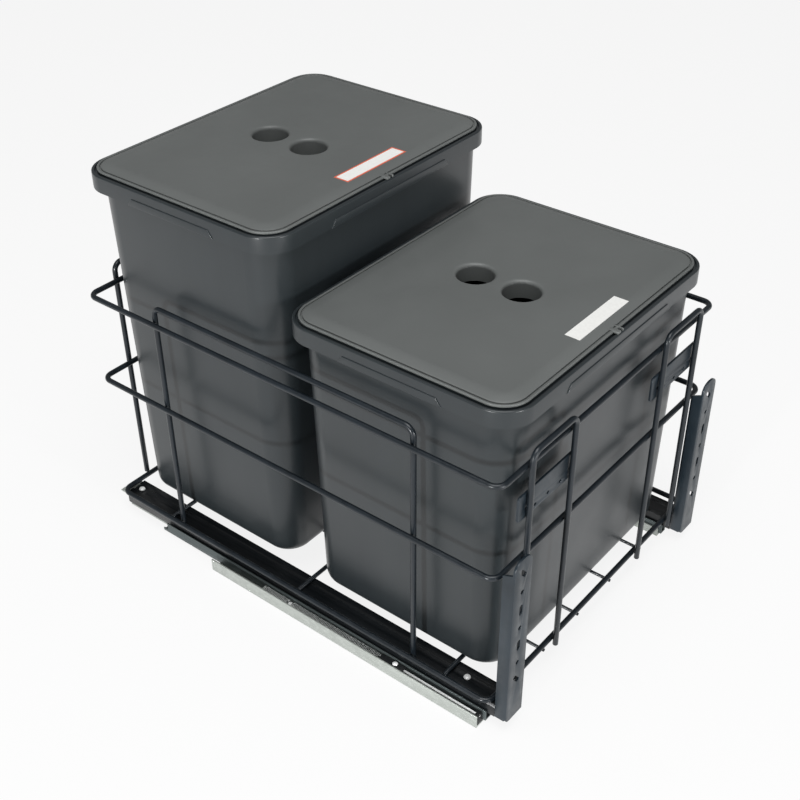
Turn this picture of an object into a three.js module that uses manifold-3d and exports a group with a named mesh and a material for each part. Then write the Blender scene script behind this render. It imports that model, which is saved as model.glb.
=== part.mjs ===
// Pull-out waste unit for a kitchen base cabinet: two lidded bins stand in a wire basket that runs
// out of the cabinet on a pair of full-extension ball slides, with brackets that carry the door.
//
// Millimetres. X runs across the cabinet, -Y points out of it towards the room, Z is up.
// Z = 0 is the underside of the rails that are screwed to the cabinet floor. X = 0 is the middle
// of the unit, and Y = 0 is the middle of its overall depth with the tray pushed in.

import * as THREE from 'three';
import { mergeVertices } from 'three/addons/utils/BufferGeometryUtils.js';
import Module from 'manifold-3d';

const wasm = await Module();
wasm.setup();

// ---------------------------------------------------------------------------------------------
// Driving dimensions
// ---------------------------------------------------------------------------------------------

const gap = 0.3; // left between pieces that are welded, clamped or resting on each other
const runningGap = 0.8; // left beside pieces that slide past each other

// Wire basket
const frameWire = 5; // diameter of the rings and hoops
const crossWire = 4; // diameter of the wires that the bins stand on
const floorWire = 3; // diameter of the long wires under them
const ringWidth = 328; // across, between wire centres
const ringDepth = 446; // front to back, between wire centres
const ringCorner = 17; // bend radius at the wire's centre
const lowerRingHeight = 136; // above the base ring
const upperRingHeight = 225; // above the base ring
const hoopRise = 14.5; // top bars stand this far above the upper ring
const hoopCorner = 15; // bend radius at the wire's centre
const hoopFootDrop = 4.5; // the front hoops end this far below the base ring's centre
const sideHoopSpan = 283; // leg to leg
const backHoopSpan = 256; // leg to leg
const frontHoopSpan = 59; // leg to leg
const frontHoopSpacing = 199; // middle of one front hoop to middle of the other
const crossWireSpacing = 165; // between neighbouring cross wires
const crossWireShift = -11; // the middle cross wire lies this far in front of the ring's middle
const floorWireSpacing = 55; // between neighbouring floor wires

// Door plates, welded behind the legs of the front hoops
const plateLength = 82;
const plateHeight = 24;
const plateSheet = 2;
const plateBelowUpperRing = 35; // ring centre down to the middle of the plate
const plateHole = 3.2; // diameter
const plateHoleSpacing = 17.5;
const plateEndHoleInset = 11; // from the plate's end
const plateCorner = 3;

// Slides
const unitWidth = 344; // over the outer walls of the cabinet rails
const slideSpacing = 298; // between the centre lines of the two slides
const travel = 410; // how far the tray comes out
const cabinetSheet = 1.5;
const cabinetRailLength = 310;
const cabinetRailSetback = 10; // its front end lies this far behind the carrier's
const cabinetRailHeight = 13;
const cabinetRailInnerReach = 16.2; // slide centre line to the rail's inner face
const cabinetRailInnerLip = 9; // height of its inner wall
const cabinetRib = 5; // width of the folded rib that the lower balls run on
const cabinetRibTop = 8.5;
const cabinetCutout = 5; // square hole near the front end of the outer wall
const cabinetCutoutInset = 4;
const mountingHole = 5; // diameter
const mountingHoleInset = 24; // from the rail's rear end
const middleSheet = 1.2;
const middleRailLength = 390;
const middleRailReach = 3; // past the cabinet rail's front end
const middleRailWidth = 28;
const middleRailLift = 3; // its underside above the cabinet floor
const middleRailHeight = 11;
const middleRib = 14.2; // width of the raised middle
const middleRibTop = 11.7;
const middleNose = 6; // the walls end this far before the floor at the rear
const innerSheet = 1.3;
const innerRailWidth = 17.6;
const innerRailBottom = 5;
const innerRailFrontInset = 45; // it starts behind the bracket's tongue
const innerTabLength = 7.5;
const innerTabWidth = 17;
const innerTabShift = 5.5; // towards the cabinet's side
const lowerBall = 2.8; // diameter
const upperBall = 3.4; // diameter
const cageSheet = 0.8;
const lowerCageBottom = 3.2;
const lowerCageTop = 9.9;
const upperCageHeight = 5.6;
const ballsPerRow = 3;
const cageEndPlay = 4; // left to the rail's end at each end of the travel

// Carriers, the black profiles that the basket is welded to
const carrierSheet = 1.5;
const carrierWidth = 24;
const carrierBottom = 11.5;
const carrierHeight = 12.7;
const carrierChamferWidth = 1.2;
const carrierChamferHeight = 2.4;
const carrierGrooveTop = 10; // width at the top of the groove along the carrier
const carrierGrooveFloor = 8.4;
const carrierGrooveDepth = 1.2;
const carrierFrontReach = 5; // past the ring's centre line at the front
const carrierRearReach = -2; // and at the rear
const frontScrewInset = 36.5; // from the carrier's front end
const rearScrewInset = 8; // from its rear end

// Door brackets
const bracketSheet = 2;
const bracketWidth = 23.5;
const bracketDepth = 11;
const bracketShift = -1.25; // middle of the bracket to the slide's centre line
const bracketBottom = 11.5;
const bracketHeight = 164.5; // to the shoulder at the bend
const bracketCrown = 10; // the arched top rises this far above the shoulder
const bracketRearDrop = 5; // the side flange's rear corner lies this far below the shoulder
const bracketTipRadius = 6;
const bracketSlot = 4.2; // width of its slots and holes
const bracketSlotLength = 11;
const bracketSlotPitch = 19.2;
const bracketSlotCount = 7;
const bracketLowestSlot = 56;
const bracketSlotTilt = 40; // degrees, the top and bottom slots
const tongueWidth = 14;
const tongueLength = 56;
const tongueTop = 20.9;

// Screws
const screwHead = 6.4; // diameter
const screwHeadHeight = 2.2;
const screwShank = 3.4; // diameter
const screwLength = 7; // below the head
const rivetHead = 5;
const rivetHeadHeight = 1.5;
const rivetShank = 3;

// Self-closing gear in the gutter of each cabinet rail
const springWire = 1.2; // diameter
const springOuter = 6.4; // diameter
const springHeight = 8.9; // axis above the cabinet floor
const longSpringLength = 105;
const longSpringCurls = 26;
const shortSpringLength = 30;
const shortSpringCurls = 8;
const catchThickness = 3;
const catchHeight = 10.5;
const anchorHeight = 10.5;
const damperLength = 106;
const damperHeight = 6;
const damperEndBlock = 26; // length of the tall block at the rear
const damperRodGrip = 5; // the rod's length inside that block
const damperFrontBlock = 4;
const damperBlockTop = 12;
const damperRod = 2.2; // diameter
const damperRodHeight = 10.2;
const damperScrewInset = 16; // from the housing's rear face
const damperScrewLength = 9; // below the head
const rivetInset = 22; // from the cabinet rail's rear end

// Bins and lids
const rimWidth = 298;
const rimDepth = 225;
const rimCorner = 39;
const rimBand = 15; // height of the turned-down rim
const rimOverhang = 8.5; // rim's outer face to the wall's outer face
const rimEdge = 1.5; // rounding along the top of the rim
const binWall = 2.4;
const binDraft = 1.3; // degrees
const binFoot = 8; // rounding between walls and floor
const rearBinHeight = 338;
const frontBinHeight = 274;
const rearBinShift = 117.5; // middle of the bin behind the ring's middle
const frontBinShift = -109.5;
const sideGripLength = 104;
const frontGripLength = 160;
const gripDrop = 3;
const gripInset = 0.6; // behind the rim's outer face
const lidInset = 7.5; // rim's outer edge to the lid's edge
const lidThickness = 2.4;
const lidStep = 1.4; // the middle of the lid stands this far above its border
const lidStepInset = 4;
const lidEdge = 0.8;
const skirtDepth = 9;
const skirtWall = 2;
const fingerHole = 32; // diameter
const fingerHoleSpacing = 45.5;
const fingerHoleShift = 9; // middle of the pair behind the lid's middle
const fingerHoleDepth = 16;
const fingerHoleLip = 2.5;
const latchWidth = 9;
const latchReach = 3.5;
const latchHeight = 2.6;

// Roundness of what is faceted here
const wireSides = 8;
const bendSteps = 5;
const cornerSteps = 5;
const holeSides = 10;
const ballSides = 6;
const fingerHoleSides = 20;
const springSides = 5;
const springSteps = 8;

// ---------------------------------------------------------------------------------------------
// Levels and lines worked out from them
// ---------------------------------------------------------------------------------------------

const carrierTop = carrierBottom + carrierHeight;
const grooveLevel = carrierTop - carrierGrooveDepth;
const baseLevel = carrierTop + gap + frameWire / 2;
const lowerLevel = baseLevel + lowerRingHeight;
const upperLevel = baseLevel + upperRingHeight;
const hoopLevel = upperLevel + hoopRise;
const crossLevel = carrierTop + gap + crossWire / 2;
const floorLevel = carrierTop - floorWire / 2;
const binLevel = crossLevel + crossWire / 2 + gap;
const innerTop = grooveLevel - carrierSheet - gap;

const slideX = slideSpacing / 2;
const ringX = ringWidth / 2;
const ringY = ringDepth / 2;
const besideRing = frameWire + gap; // wire centre to the centre of a wire that is welded beside it
const sideHoopX = ringX - besideRing;
const hoopY = ringY + besideRing;
const carrierFront = -ringY - carrierFrontReach;
const carrierRear = ringY + carrierRearReach;
const cabinetRailFront = carrierFront + cabinetRailSetback;
const cabinetRailRear = cabinetRailFront + cabinetRailLength;
const middleRailFront = cabinetRailFront - middleRailReach;
const middleRailRear = middleRailFront + middleRailLength;
const innerRailFront = carrierFront + innerRailFrontInset;
const innerTabRear = carrierRear + gap + innerTabLength;
const bracketFront = carrierFront - runningGap - bracketDepth;
const unitFront = bracketFront;
const unitRear = Math.max(hoopY + frameWire / 2, innerTabRear);

const gutterOuter = unitWidth / 2 - cabinetSheet;
const gutterInner = slideX + middleRailWidth / 2;
const gutterX = (gutterOuter + gutterInner) / 2;
const gutterClear = (gutterOuter - gutterInner) / 2 - runningGap;
const damperFront = cabinetRailFront;
const damperRear = damperFront + damperLength;
const damperRodRear = damperRear - damperEndBlock + damperRodGrip;
const catchFront = damperRear + longSpringLength + 2 * gap;
const anchorFront = catchFront + catchThickness + shortSpringLength + 2 * gap;

// ---------------------------------------------------------------------------------------------
// Shapes
// ---------------------------------------------------------------------------------------------

function skin(rings, closed = false) {
  // Joins rings of equal point counts into one closed surface, with a flat cap at each open end.
  const sides = rings[0].length;
  const positions = [];
  for (const ring of rings) {
    for (const point of ring) positions.push(point.x, point.y, point.z);
  }
  const faces = [];
  const spans = closed ? rings.length : rings.length - 1;
  for (let i = 0; i < spans; i += 1) {
    const here = i * sides;
    const next = ((i + 1) % rings.length) * sides;
    for (let k = 0; k < sides; k += 1) {
      const turn = (k + 1) % sides;
      faces.push(here + k, here + turn, next + k);
      faces.push(here + turn, next + turn, next + k);
    }
  }
  if (!closed) {
    const last = (rings.length - 1) * sides;
    for (let k = 1; k < sides - 1; k += 1) {
      faces.push(0, k + 1, k);
      faces.push(last, last + k, last + k + 1);
    }
  }
  const geometry = new THREE.BufferGeometry();
  geometry.setAttribute('position', new THREE.Float32BufferAttribute(positions, 3));
  geometry.setIndex(faces);
  return geometry;
}

function tube(points, diameter, sides, flatNormal, closed = false) {
  // A round wire through the points. The section is carried along without twisting.
  const count = points.length;
  const leg = (i) => {
    const from = points[(i + count) % count];
    const to = points[(i + 1 + count) % count];
    return to.clone().sub(from).normalize();
  };
  const rings = [];
  let normal = flatNormal.clone();
  for (let i = 0; i < count; i += 1) {
    const into = leg(closed || i > 0 ? i - 1 : 0);
    const out = leg(closed || i < count - 1 ? i : count - 2);
    const tangent = into.add(out).normalize();
    normal = normal.clone().addScaledVector(tangent, -normal.dot(tangent)).normalize();
    const binormal = tangent.clone().cross(normal);
    const ring = [];
    for (let k = 0; k < sides; k += 1) {
      const angle = (2 * Math.PI * k) / sides;
      const point = points[i].clone();
      point.addScaledVector(normal, (Math.cos(angle) * diameter) / 2);
      point.addScaledVector(binormal, (Math.sin(angle) * diameter) / 2);
      ring.push(point);
    }
    rings.push(ring);
  }
  return skin(rings, closed);
}

function straightWire(from, to, diameter) {
  const upright = new THREE.Vector3(0, 0, 1);
  return tube([from, to], diameter, wireSides, upright);
}

function roundedOutline(halfX, halfY, radius, steps) {
  // A rectangle with round corners, as flat points that run anticlockwise.
  const round = Math.min(radius, halfX, halfY);
  const corners = [
    [halfX - round, halfY - round],
    [round - halfX, halfY - round],
    [round - halfX, round - halfY],
    [halfX - round, round - halfY],
  ];
  const points = [];
  corners.forEach(([x, y], corner) => {
    for (let i = 0; i <= steps; i += 1) {
      const angle = (corner + i / steps) * (Math.PI / 2);
      points.push(new THREE.Vector2(x + round * Math.cos(angle), y + round * Math.sin(angle)));
    }
  });
  return points;
}

function hoopOutline(halfSpan, foot, top, radius) {
  // A U that stands upside down: up one leg, round two bends and down the other.
  const points = [new THREE.Vector2(-halfSpan, foot)];
  for (let i = 0; i <= bendSteps; i += 1) {
    const angle = Math.PI - (i / bendSteps) * (Math.PI / 2);
    const x = radius - halfSpan + radius * Math.cos(angle);
    points.push(new THREE.Vector2(x, top - radius + radius * Math.sin(angle)));
  }
  for (let i = 0; i <= bendSteps; i += 1) {
    const angle = (1 - i / bendSteps) * (Math.PI / 2);
    const x = halfSpan - radius + radius * Math.cos(angle);
    points.push(new THREE.Vector2(x, top - radius + radius * Math.sin(angle)));
  }
  points.push(new THREE.Vector2(halfSpan, foot));
  return points;
}

function foldedSheet(fold, sheet) {
  // The outline of a bent sheet, from the line along the middle of its thickness.
  const line = fold.map(([x, y]) => new THREE.Vector2(x, y));
  const edge = (side) => line.map((point, i) => {
    const before = line[Math.max(i - 1, 0)];
    const after = line[Math.min(i + 1, line.length - 1)];
    const into = (i > 0 ? point.clone().sub(before) : after.clone().sub(point)).normalize();
    const out = (i < line.length - 1 ? after.clone().sub(point) : into.clone()).normalize();
    const mitre = into.clone().add(out).normalize();
    const reach = sheet / 2 / Math.max(mitre.dot(into), 0.5);
    return new THREE.Vector2(point.x - mitre.y * reach * side, point.y + mitre.x * reach * side);
  });
  return new THREE.Shape([...edge(1), ...edge(-1).reverse()]);
}

function alongY(shape, front, rear) {
  // A section drawn in X and Z, drawn out from front to rear.
  const geometry = new THREE.ExtrudeGeometry(shape, { depth: rear - front, bevelEnabled: false });
  geometry.rotateX(Math.PI / 2);
  geometry.translate(0, rear, 0);
  return geometry;
}

function box(low, high) {
  const size = high.map((value, i) => value - low[i]);
  const geometry = new THREE.BoxGeometry(...size);
  geometry.translate(low[0] + size[0] / 2, low[1] + size[1] / 2, low[2] + size[2] / 2);
  return geometry;
}

function roundBar(diameter, from, to, sides = holeSides) {
  // A cylinder between two points on one of the axes' directions.
  const start = new THREE.Vector3(...from);
  const span = new THREE.Vector3(...to).sub(start);
  const geometry = new THREE.CylinderGeometry(diameter / 2, diameter / 2, span.length(), sides);
  const upright = new THREE.Vector3(0, 1, 0);
  const turn = new THREE.Quaternion().setFromUnitVectors(upright, span.clone().normalize());
  geometry.applyQuaternion(turn);
  geometry.translate(...start.addScaledVector(span, 0.5).toArray());
  return geometry;
}

// ---------------------------------------------------------------------------------------------
// Cutting and joining
// ---------------------------------------------------------------------------------------------

function toSolid(geometry) {
  const bare = new THREE.BufferGeometry();
  bare.setAttribute('position', geometry.getAttribute('position').clone());
  if (geometry.index) bare.setIndex(geometry.index.clone());
  const merged = mergeVertices(bare, 1e-4);
  const vertProperties = Float32Array.from(merged.getAttribute('position').array);
  const triVerts = Uint32Array.from(merged.index.array);
  return new wasm.Manifold(new wasm.Mesh({ numProp: 3, vertProperties, triVerts }));
}

function toGeometry(solid) {
  const mesh = solid.getMesh();
  const geometry = new THREE.BufferGeometry();
  geometry.setAttribute('position', new THREE.BufferAttribute(mesh.vertProperties, 3));
  geometry.setIndex(new THREE.BufferAttribute(mesh.triVerts, 1));
  return geometry;
}

function shaped(blank, added, removed) {
  // The blank, with the added geometries joined to it and the removed ones cut out.
  let solid = toSolid(blank);
  for (const geometry of added) solid = solid.add(toSolid(geometry));
  for (const geometry of removed) solid = solid.subtract(toSolid(geometry));
  return toGeometry(solid);
}

// ---------------------------------------------------------------------------------------------
// Finishes
// ---------------------------------------------------------------------------------------------

const galvanised = new THREE.MeshStandardMaterial({ color: 0xaab0ac, roughness: 0.42, metalness: 0.9 });
const brightSteel = new THREE.MeshStandardMaterial({ color: 0xc4c8c8, roughness: 0.25, metalness: 1 });
const railSteel = new THREE.MeshStandardMaterial({ color: 0x5d6666, roughness: 0.45, metalness: 0.6 });
const frameCoating = new THREE.MeshStandardMaterial({ color: 0x232b33, roughness: 0.42, metalness: 0.2 });
const carrierBlack = new THREE.MeshStandardMaterial({ color: 0x121518, roughness: 0.4, metalness: 0.1 });
const housingBlack = new THREE.MeshStandardMaterial({ color: 0x17191b, roughness: 0.55, metalness: 0 });
const cagePlastic = new THREE.MeshStandardMaterial({ color: 0x8d9294, roughness: 0.4, metalness: 0.5 });
const binPlastic = new THREE.MeshStandardMaterial({ color: 0x4a5153, roughness: 0.3, metalness: 0 });
const lidPlastic = new THREE.MeshStandardMaterial({ color: 0x5c5f5e, roughness: 0.42, metalness: 0 });

function piece(name, geometry, material) {
  geometry.computeVertexNormals();
  const mesh = new THREE.Mesh(geometry, material);
  mesh.name = name;
  return mesh;
}

// The two slides mirror each other: side is -1 on the left and +1 on the right.
const slides = [['left', -1], ['right', 1]];

// ---------------------------------------------------------------------------------------------
// Cabinet rails and the self-closing gear in their gutters
// ---------------------------------------------------------------------------------------------

function cabinetRail(side) {
  // A channel with a folded rib along its middle, where the lower balls run.
  const half = cabinetSheet / 2;
  const rib = (cabinetRib - cabinetSheet) / 2;
  const outer = unitWidth / 2 - half;
  const inner = slideX - cabinetRailInnerReach + half;
  const section = foldedSheet([
    [side * inner, cabinetRailInnerLip],
    [side * inner, half],
    [side * (slideX - rib), half],
    [side * (slideX - rib), cabinetRibTop - half],
    [side * (slideX + rib), cabinetRibTop - half],
    [side * (slideX + rib), half],
    [side * outer, half],
    [side * outer, cabinetRailHeight],
  ], cabinetSheet);
  const anchorReach = [gutterX - gutterClear, unitWidth / 2 - half].map((x) => side * x);
  const anchorX = [Math.min(...anchorReach), Math.max(...anchorReach)];
  const anchor = box(
    [anchorX[0], anchorFront, half],
    [anchorX[1], anchorFront + cabinetSheet, anchorHeight],
  );
  const wallX = side * (unitWidth / 2);
  const cutoutFront = cabinetRailFront + cabinetCutoutInset;
  const cutoutMiddle = cabinetRailHeight / 2;
  const cutout = box(
    [Math.min(wallX, wallX - side * 2 * cabinetSheet), cutoutFront, cutoutMiddle - cabinetCutout / 2],
    [Math.max(wallX, wallX + side), cutoutFront + cabinetCutout, cutoutMiddle + cabinetCutout / 2],
  );
  const holeY = cabinetRailRear - mountingHoleInset;
  const holeOffset = (cabinetRib + middleRailWidth) / 4;
  const through = (x, y, diameter) => roundBar(diameter, [x, y, -1], [x, y, 2 * cabinetSheet]);
  const holes = [
    through(side * (slideX - holeOffset), holeY, mountingHole),
    through(side * (slideX + holeOffset), holeY, mountingHole),
    through(side * gutterX, cabinetRailRear - rivetInset, rivetShank + 2 * gap),
  ];
  return shaped(alongY(section, cabinetRailFront, cabinetRailRear), [anchor], [cutout, ...holes]);
}

function damperHousing(side) {
  // A low bar with a raised block at each end that holds the rod.
  const low = gutterX - gutterClear;
  const high = gutterX + gutterClear;
  const bottom = cabinetSheet + gap;
  const spanX = side > 0 ? [low, high] : [-high, -low];
  const block = (front, rear, top) => box([spanX[0], front, bottom], [spanX[1], rear, top]);
  const x = side * gutterX;
  const screwY = damperRear - damperScrewInset;
  return shaped(
    block(damperFront, damperRear, bottom + damperHeight),
    [
      block(damperRear - damperEndBlock, damperRear, damperBlockTop),
      block(damperFront, damperFront + damperFrontBlock, damperBlockTop),
    ],
    [
      roundBar(
        damperRod + 2 * gap,
        [x, damperFront - 1, damperRodHeight],
        [x, damperRodRear, damperRodHeight],
      ),
      roundBar(rivetShank + 2 * gap, [x, screwY, 0], [x, screwY, damperBlockTop + 1]),
    ],
  );
}

function damperRodBar(side) {
  const x = side * gutterX;
  const rodRear = damperRodRear - gap;
  return roundBar(
    damperRod,
    [x, damperFront + gap, damperRodHeight],
    [x, rodRear, damperRodHeight],
    wireSides,
  );
}

function helixPoints(side, front, length, curls) {
  // A helix along Y whose ends run straight for one wire diameter.
  const radius = (springOuter - springWire) / 2;
  const wound = length - 2 * springWire;
  const points = [];
  const on = (turn, y) => {
    const angle = side * turn * 2 * Math.PI;
    const x = side * gutterX + radius * Math.sin(angle);
    return new THREE.Vector3(x, y, springHeight + radius * Math.cos(angle));
  };
  points.push(on(0, front));
  for (let i = 0; i <= curls * springSteps; i += 1) {
    const turn = i / springSteps;
    points.push(on(turn, front + springWire + (wound * turn) / curls));
  }
  points.push(on(curls, front + length));
  return points;
}

function leastCoilGap(points) {
  // Smallest distance between wire surfaces that lie about one curl apart.
  let least = Infinity;
  for (let i = 0; i < points.length; i += 1) {
    for (let j = i + springSteps - 2; j < Math.min(i + springSteps + 3, points.length); j += 1) {
      least = Math.min(least, points[i].distanceTo(points[j]) - springWire);
    }
  }
  return least;
}

function coilSpring(side, front, length, curls) {
  const points = helixPoints(side, front, length, curls);
  console.log(`least gap in a spring of ${curls} curls: ${leastCoilGap(points).toFixed(2)} mm`);
  return tube(points, springWire, springSides, new THREE.Vector3(1, 0, 0));
}

function springCatch(side) {
  // A plate with a rounded head that both springs pull on.
  const bottom = cabinetSheet + gap;
  const outline = new THREE.Shape();
  const shoulder = catchHeight - gutterClear;
  outline.moveTo(side * gutterX - gutterClear, bottom);
  outline.lineTo(side * gutterX + gutterClear, bottom);
  outline.lineTo(side * gutterX + gutterClear, shoulder);
  outline.absarc(side * gutterX, shoulder, gutterClear, 0, Math.PI, false);
  outline.closePath();
  return alongY(outline, catchFront, catchFront + catchThickness);
}

function headedPin(head, headHeight, shank, length, underHead) {
  // A domed head on a shank, turned about Z.
  const tip = underHead - length;
  const profile = [
    [0, tip],
    [shank / 2, tip],
    [shank / 2, underHead],
    [head / 2, underHead],
    [head / 2, underHead + headHeight * 0.35],
    [head * 0.36, underHead + headHeight * 0.82],
    [0, underHead + headHeight],
  ];
  const points = profile.map(([r, z]) => new THREE.Vector2(r, z));
  const geometry = new THREE.LatheGeometry(points, wireSides);
  geometry.rotateX(Math.PI / 2);
  return geometry;
}

function screw(x, y, underHead) {
  const geometry = headedPin(screwHead, screwHeadHeight, screwShank, screwLength, underHead);
  geometry.translate(x, y, 0);
  return geometry;
}

function rivet(x, y, underHead, length) {
  const geometry = headedPin(rivetHead, rivetHeadHeight, rivetShank, length, underHead);
  geometry.translate(x, y, 0);
  return geometry;
}

function fixedRails() {
  const group = new THREE.Group();
  const longFront = damperRear + gap;
  const shortFront = catchFront + catchThickness + gap;
  for (const [hand, side] of slides) {
    const rivetY = cabinetRailRear - rivetInset;
    group.add(
      piece(`${hand}_cabinet_rail`, cabinetRail(side), galvanised),
      piece(`${hand}_damper_housing`, damperHousing(side), housingBlack),
      piece(`${hand}_damper_rod`, damperRodBar(side), brightSteel),
      piece(
        `${hand}_closing_spring`,
        coilSpring(side, longFront, longSpringLength, longSpringCurls),
        brightSteel,
      ),
      piece(
        `${hand}_return_spring`,
        coilSpring(side, shortFront, shortSpringLength, shortSpringCurls),
        brightSteel,
      ),
      piece(`${hand}_spring_catch`, springCatch(side), brightSteel),
      piece(
        `${hand}_damper_screw`,
        rivet(side * gutterX, damperRear - damperScrewInset, damperBlockTop + gap, damperScrewLength),
        brightSteel,
      ),
      piece(
        `${hand}_rail_rivet`,
        rivet(side * gutterX, rivetY, cabinetSheet + gap, cabinetSheet),
        brightSteel,
      ),
    );
  }
  return group;
}

// ---------------------------------------------------------------------------------------------
// Middle rails and ball cages
// ---------------------------------------------------------------------------------------------

function middleRail(side) {
  // Two gutters and a raised middle: the outer walls hold the upper balls, the middle the lower.
  const half = middleSheet / 2;
  const wall = middleRailWidth / 2 - half;
  const rib = middleRib / 2 - half;
  const floor = middleRailLift + half;
  const top = middleRailLift + middleRailHeight;
  const x = (offset) => side * slideX + offset;
  const section = foldedSheet([
    [x(-wall), top],
    [x(-wall), floor],
    [x(-rib), floor],
    [x(-rib), middleRibTop - half],
    [x(rib), middleRibTop - half],
    [x(rib), floor],
    [x(wall), floor],
    [x(wall), top],
  ], middleSheet);
  const nose = box(
    [x(-middleRailWidth), middleRailRear - middleNose, middleRailLift + 2.5 * middleSheet],
    [x(middleRailWidth), middleRailRear + 1, top + 1],
  );
  return shaped(alongY(section, middleRailFront, middleRailRear), [], [nose]);
}

function ballRow(x, z, diameter, front, rear) {
  const balls = [];
  const pitch = (rear - front) / ballsPerRow;
  for (let i = 0; i < ballsPerRow; i += 1) {
    const ball = new THREE.SphereGeometry(diameter / 2, ballSides, ballSides - 2);
    ball.translate(x, front + pitch * (i + 0.5), z);
    balls.push(ball);
  }
  return balls;
}

function lowerBallCage(side) {
  // A bent strip that sits astride the cabinet rail's rib, with a row of balls on each side.
  const front = cabinetRailFront + travel / 4 + cageEndPlay;
  const rear = middleRailRear - travel / 4 - cageEndPlay;
  const offset = (cabinetRib + middleRib - 2 * middleSheet) / 4;
  const x = (sign) => side * slideX + sign * offset;
  const strip = foldedSheet([
    [x(-1), lowerCageBottom],
    [x(-1), lowerCageTop - cageSheet / 2],
    [x(1), lowerCageTop - cageSheet / 2],
    [x(1), lowerCageBottom],
  ], cageSheet);
  const ballZ = (lowerCageBottom + cabinetRibTop) / 2;
  const limit = Math.min(rear, cabinetRailRear - cageEndPlay);
  const balls = [-1, 1].flatMap((sign) => ballRow(x(sign), ballZ, lowerBall, front, limit));
  return shaped(alongY(strip, front, limit), balls, []);
}

function upperBallStrip(side, sign) {
  // A flat strip between the inner rail and one wall of the middle rail, with a row of balls.
  const front = middleRailFront + travel / 4 + cageEndPlay;
  const rear = carrierRear - travel / 4 - cageEndPlay;
  const wall = middleRailWidth / 2 - middleSheet;
  const x = side * slideX + (sign * (wall + innerRailWidth / 2)) / 2;
  const strip = box(
    [x - cageSheet / 2, front, innerRailBottom],
    [x + cageSheet / 2, rear, innerRailBottom + upperCageHeight],
  );
  const ballZ = innerRailBottom + upperCageHeight / 2;
  return shaped(strip, ballRow(x, ballZ, upperBall, front, rear), []);
}

function middleRails() {
  const group = new THREE.Group();
  for (const [hand, side] of slides) {
    group.add(
      piece(`${hand}_middle_rail`, middleRail(side), railSteel),
      piece(`${hand}_lower_ball_cage`, lowerBallCage(side), cagePlastic),
      piece(`${hand}_outer_ball_strip`, upperBallStrip(side, side), cagePlastic),
      piece(`${hand}_inner_ball_strip`, upperBallStrip(side, -side), cagePlastic),
    );
  }
  return group;
}

// ---------------------------------------------------------------------------------------------
// Tray: inner rails, carriers, door brackets and the wire basket
// ---------------------------------------------------------------------------------------------

const frontScrewY = carrierFront + frontScrewInset;
const rearScrewY = carrierRear - rearScrewInset;
const screwClear = screwShank + 2 * gap;

function screwHole(x, y) {
  return roundBar(screwClear, [x, y, innerTop - screwLength], [x, y, carrierTop + 1]);
}

function innerRail(side) {
  // An upturned channel that runs astride the middle rail's rib, with a stop tab at its rear end.
  const half = innerSheet / 2;
  const wall = innerRailWidth / 2 - half;
  const x = (offset) => side * slideX + offset;
  const section = foldedSheet([
    [x(-wall), innerRailBottom],
    [x(-wall), innerTop - half],
    [x(wall), innerTop - half],
    [x(wall), innerRailBottom],
  ], innerSheet);
  const riserFront = carrierRear + gap;
  const tabMiddle = slideX + innerTabShift;
  const tabSpan = [tabMiddle - innerTabWidth / 2, tabMiddle + innerTabWidth / 2];
  const tabX = side > 0 ? tabSpan : [-tabSpan[1], -tabSpan[0]];
  const riser = box(
    [x(-wall), riserFront, innerTop - innerSheet],
    [x(wall), riserFront + innerSheet, carrierTop],
  );
  const tab = box([tabX[0], riserFront, carrierTop - innerSheet], [tabX[1], innerTabRear, carrierTop]);
  const body = alongY(section, innerRailFront, riserFront + innerSheet);
  return shaped(body, [riser, tab], [screwHole(side * slideX, rearScrewY)]);
}

function carrier(side) {
  // A roll-formed cover with chamfered shoulders and a groove along its top.
  const half = carrierSheet / 2;
  const wall = carrierWidth / 2 - half;
  const crown = wall - carrierChamferWidth;
  const grooveEdge = carrierGrooveTop / 2;
  const grooveFloor = carrierGrooveFloor / 2;
  const x = (offset) => side * slideX + offset;
  const section = foldedSheet([
    [x(-wall), carrierBottom],
    [x(-wall), carrierTop - carrierChamferHeight],
    [x(-crown), carrierTop - half],
    [x(-grooveEdge), carrierTop - half],
    [x(-grooveFloor), grooveLevel - half],
    [x(grooveFloor), grooveLevel - half],
    [x(grooveEdge), carrierTop - half],
    [x(crown), carrierTop - half],
    [x(wall), carrierTop - carrierChamferHeight],
    [x(wall), carrierBottom],
  ], carrierSheet);
  const holes = [screwHole(side * slideX, frontScrewY), screwHole(side * slideX, rearScrewY)];
  return shaped(alongY(section, carrierFront, carrierRear), [], holes);
}

function slotCutter(x, z, length, tilt) {
  // A round-ended slot through the bracket's front flange.
  const outline = new THREE.Shape();
  const straight = (length - bracketSlot) / 2;
  outline.absarc(0, straight, bracketSlot / 2, 0, Math.PI, false);
  outline.absarc(0, -straight, bracketSlot / 2, Math.PI, 2 * Math.PI, false);
  const depth = 3 * bracketSheet;
  const geometry = new THREE.ExtrudeGeometry(outline, { depth, bevelEnabled: false, curveSegments: 4 });
  geometry.rotateZ(THREE.MathUtils.degToRad(tilt));
  geometry.rotateX(Math.PI / 2);
  geometry.translate(x, bracketFront + 2 * bracketSheet, z);
  return geometry;
}

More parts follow.
